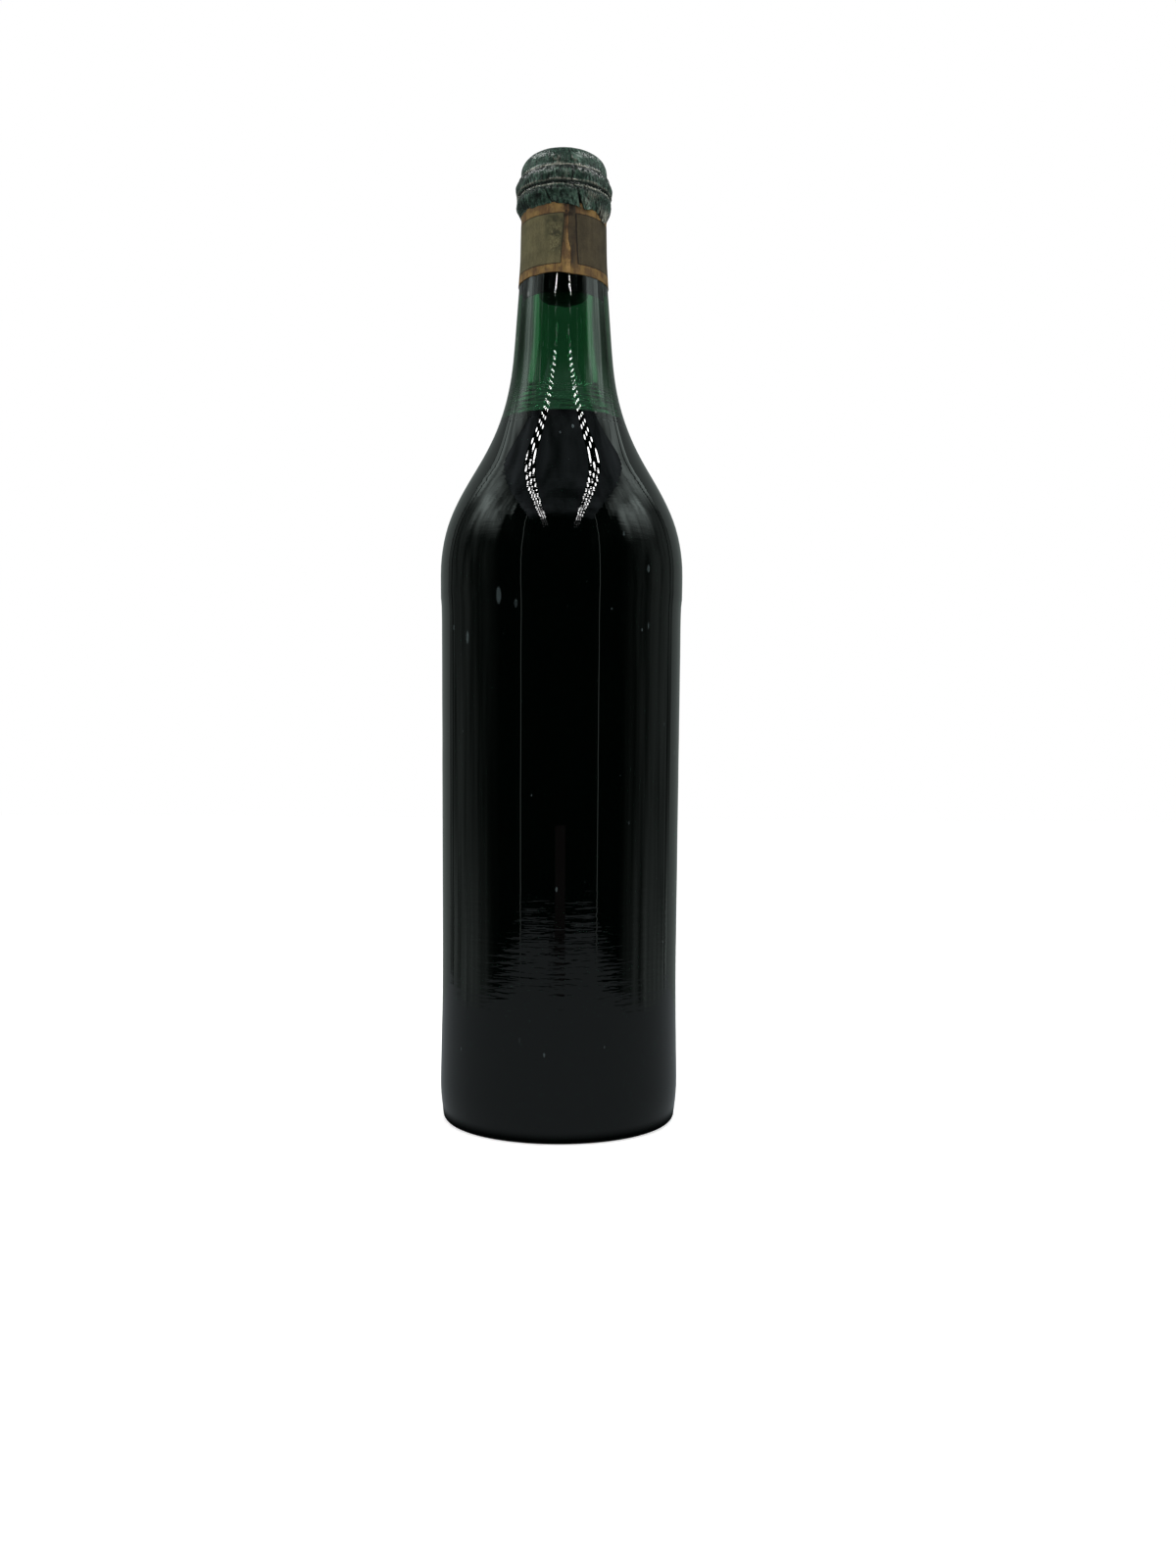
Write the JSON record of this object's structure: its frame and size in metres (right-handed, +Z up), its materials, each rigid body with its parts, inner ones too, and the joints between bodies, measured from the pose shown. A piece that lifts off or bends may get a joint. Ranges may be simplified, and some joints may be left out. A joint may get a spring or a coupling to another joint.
{
  "type": "vermouth bottle",
  "caption": "Full one-litre vermouth bottle of dark green glass with an ogee shoulder, a double-ring mouth, a cork, a crimped foil capsule and an aged paper neck label.",
  "frame": {"origin": "centre of the ring that the bottle stands on", "axes": "+Z up the bottle's axis to its mouth; -Y faces the seam of the label and of the foil; +X to the right of it"},
  "size_m": [0.086, 0.086, 0.3408],
  "materials": {
    "dark_glass": "smooth blown glass, very dark green, lightly rippled and scuffed",
    "drink": "clear deep red-brown vermouth",
    "cork": "natural cork, stained at its foot",
    "foil": "teal-green lacquered lead foil, worn to grey metal on its ridges",
    "label_paper": "aged olive-brown paper with ochre borders, matt"
  },
  "bodies": {
    "root": {"bottle_glass": "dark_glass", "vermouth": "drink", "cork": "cork", "foil_capsule": "foil", "neck_label": "label_paper"}
  },
  "joints": []
}
